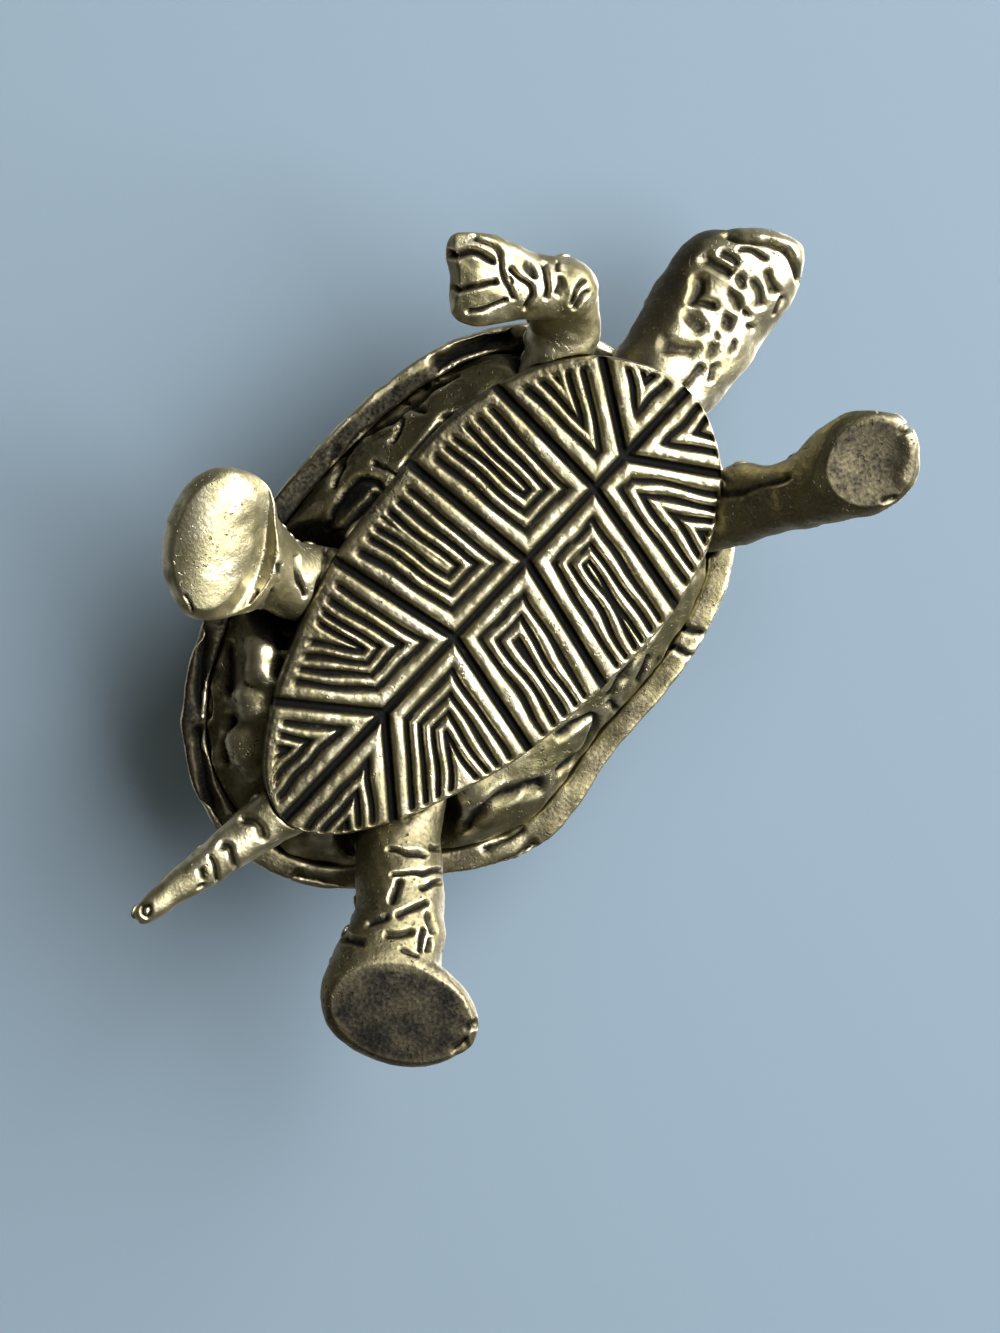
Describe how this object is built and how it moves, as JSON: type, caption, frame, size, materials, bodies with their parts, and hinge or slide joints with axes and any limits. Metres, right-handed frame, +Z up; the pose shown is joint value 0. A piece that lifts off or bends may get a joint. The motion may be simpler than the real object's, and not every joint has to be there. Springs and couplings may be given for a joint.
{
  "type": "turtle figurine",
  "caption": "Small cast brass turtle ornament, walking with a front paw lifted: domed shell, ribbed belly plate, raised head and short tail on flat soles.",
  "frame": {"origin": "on the floor under the middle of the bounding box, with the turtle standing on its soles", "axes": "+Z up, head towards -Y and tail towards +Y, the turtle's left side towards +X"},
  "size_m": [0.035, 0.0566, 0.0191],
  "materials": {
    "cast_brass": "antique, dark in the recesses and polished on the high spots"
  },
  "bodies": {
    "root": {"carapace": "cast_brass", "body": "cast_brass", "plastron": "cast_brass", "head_and_neck": "cast_brass", "tail": "cast_brass", "front_left_leg": "cast_brass", "front_right_leg": "cast_brass", "hind_left_leg": "cast_brass", "hind_right_leg": "cast_brass"}
  },
  "joints": []
}
